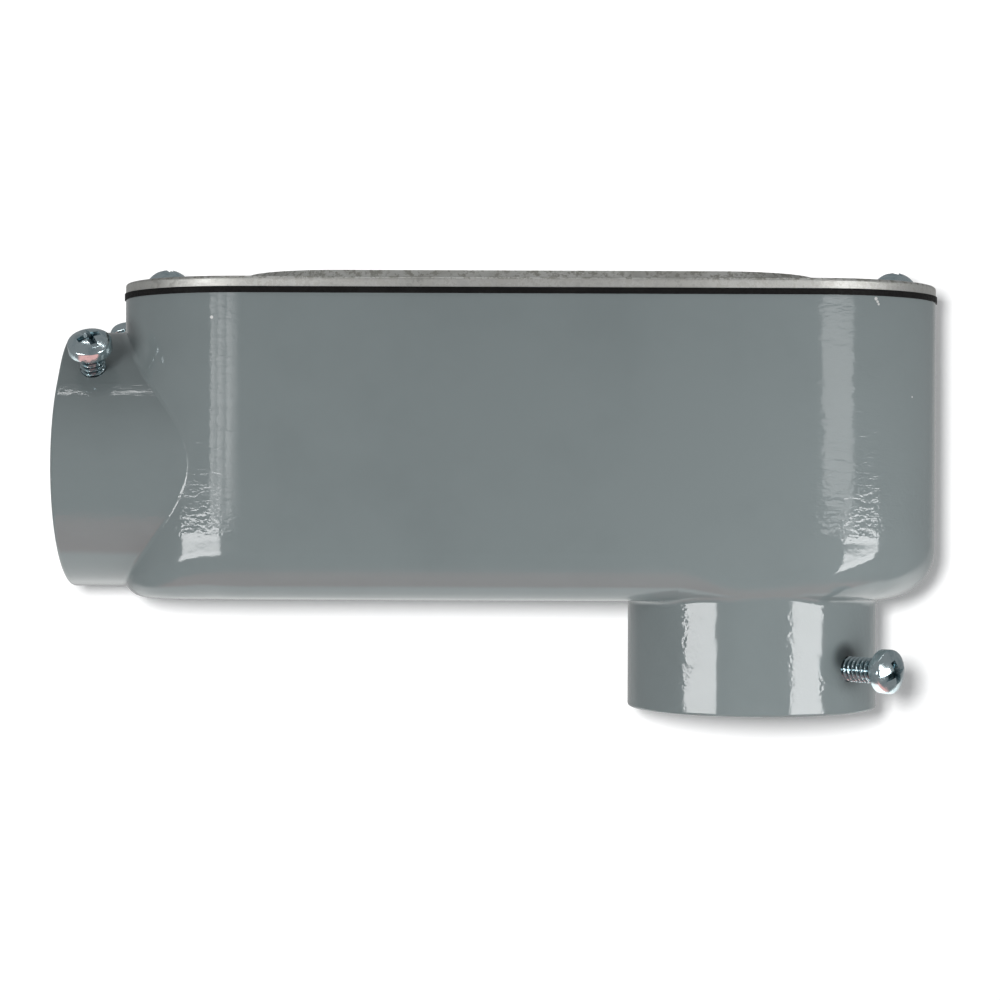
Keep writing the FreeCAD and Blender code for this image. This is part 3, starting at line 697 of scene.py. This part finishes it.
# %% [markdown]
# ## Light
#
# Glossy paint shows its surroundings, so the light is a set of plain white panels whose mirror
# images give the long streaks on the rounded corners and hubs. Two bright low panels stand left
# and right in front of the part, and dimmer ones stand higher up. The left dim one is three
# narrow beams, so that it shows on the corner and not on the end hub beside it. A strip above
# draws the thin line along the end hub.
#
# The key and a strip below light the paint's own colour and have no mirror image. The table has a
# lamp of its own, close to the camera, so that its shadow is equally narrow round the part.

# %% Light panels
def add_panel(name, place, aim, width, height, radiance, gloss=True, spread=math.pi):
    """A soft rectangular light that faces a point. Its power follows from the brightness seen."""
    light = bpy.data.lights.new(name, "AREA")
    light.shape = "RECTANGLE"
    light.size = width * MM
    light.size_y = height * MM
    light.spread = spread
    light.energy = 4 * radiance * light.size * light.size_y
    if spread < math.pi:
        # a narrow beam looks brighter for the same power, so it gets less
        half = spread / 2
        light.energy *= (math.tan(half) - half) / math.tan(half)
    lamp = bpy.data.objects.new(name, light)
    lamp.location = Vector(place) * MM
    away = (Vector(place) - Vector(aim)).normalized()
    side = Vector((0, 0, 1)).cross(away).normalized()
    # an area light shines along its own -Z
    lamp.rotation_euler = Matrix((side, away.cross(side), away)).transposed().to_euler()
    lamp.visible_camera = False
    lamp.visible_glossy = gloss
    bpy.context.scene.collection.objects.link(lamp)
    return lamp


def panel_between(name, left, right, bottom, top, radiance):
    """An upright panel whose sides stand at two places on the ground plan."""
    middle = Vector(((left[0] + right[0]) / 2, (left[1] + right[1]) / 2, (bottom + top) / 2))
    run = Vector((right[0] - left[0], right[1] - left[1], 0))
    towards = Vector((-run.y, run.x, 0)).normalized()
    return add_panel(name, middle, middle + towards, run.length, top - bottom, radiance)


MIDDLE = Vector((-48, 0, 50))
LEFT_CORNER = (-114, -31, 76)
BEAM_PLACES = (-196, -233, -270)
NARROW = 0.27  # radians

part_lamps = [
    panel_between("low_left", (-486, -220), (-343, -477), -60, 33, 7.8),
    panel_between("low_right", (113, -200), (354, -200), -45, 33, 7.8),
    *[add_panel(f"high_left_{k}", (x, -264, 83), LEFT_CORNER, 36, 86, 3.4, spread=NARROW)
      for k, x in enumerate(BEAM_PLACES)],
    panel_between("high_right", (64, -264), (203, -264), 40, 126, 2.2),
    add_panel("strip_above", (-100, -146, 430), (-100, 0, 60), 420, 12, 7.0),
    add_panel("glow_below", (-48, -133, -60), (-48, -33, 40), 420, 12, 5.5, gloss=False),
    add_panel("key", (-420, -1300, 420), MIDDLE, 240, 240, 11.0, gloss=False)]
table_lamp = add_panel("table_key", (-91, -597, 84), (-60, 35, 60), 55, 55, 318.0, gloss=False)

# %% Which lamp lights what
part_set = bpy.data.collections.new("part_set")
table_set = bpy.data.collections.new("table_set")
for thing in bpy.data.objects:
    if thing.type == "MESH":
        (table_set if thing == table else part_set).objects.link(thing)
for lamp in part_lamps:
    lamp.light_linking.receiver_collection = part_set
table_lamp.light_linking.receiver_collection = table_set
print("panels:", len(part_lamps), "for the part and 1 for the table")

# %% [markdown]
# The surroundings are what the panels leave open. Behind the part, and most widely low down, they
# are white like the table. In mirror images that white is darker, like the table close by in the
# part's own shade, except far down, where it is bright. On the camera's side the surroundings
# are grey, so that the flat front shows the paint's own colour. Mirror images that look steeply
# down on that side show a warm card. The camera itself sees white.

# %% Surroundings
WHITE = (1, 1, 1, 1)
TABLE_LIGHT = (1.1, 1.1, 1.1, 1)
TABLE_BELOW = (1.6, 1.6, 1.58, 1)
TABLE_NEAR = (0.45, 0.45, 0.45, 1)
GREY_SIDE = (0.27, 0.275, 0.28, 1)
WARM_CARD = (1.15, 0.60, 0.56, 1)
HORIZON_SLOPE = 0.8          # how fast the white side narrows upwards
HORIZON_EDGE = 0.08
SHADE_EDGE = (-0.15, -0.60)  # downward parts of a direction: from darker to bright
CARD_EDGE = (-0.68, -0.80)   # and from grey to the warm card

world = bpy.data.worlds.new("studio")
bpy.context.scene.world = world
world.use_nodes = True
tree = world.node_tree
background = tree.nodes["Background"]
paths = add(tree, "ShaderNodeLightPath").outputs
direction = parts_of(tree, add(tree, "ShaderNodeTexCoord").outputs["Generated"])
rise = product(tree, math_node(tree, "ADD", direction[2], 1.0), HORIZON_SLOPE)
behind = band(tree, math_node(tree, "SUBTRACT", direction[1], rise),
              -HORIZON_EDGE, HORIZON_EDGE)
mirrored_table = blend_colour(tree, band(tree, direction[2], *SHADE_EDGE),
                              TABLE_NEAR, TABLE_BELOW)
table_side = blend_colour(tree, paths["Is Glossy Ray"], TABLE_LIGHT, mirrored_table)
on_card = product(tree, band(tree, direction[2], *CARD_EDGE), paths["Is Glossy Ray"])
camera_side = blend_colour(tree, on_card, GREY_SIDE, WARM_CARD)
light_colour = blend_colour(tree, behind, camera_side, table_side)
tree.links.new(blend_colour(tree, paths["Is Camera Ray"], light_colour, WHITE),
               background.inputs["Color"])
background.inputs["Strength"].default_value = 1.0

bpy.context.scene.view_settings.view_transform = "Standard"
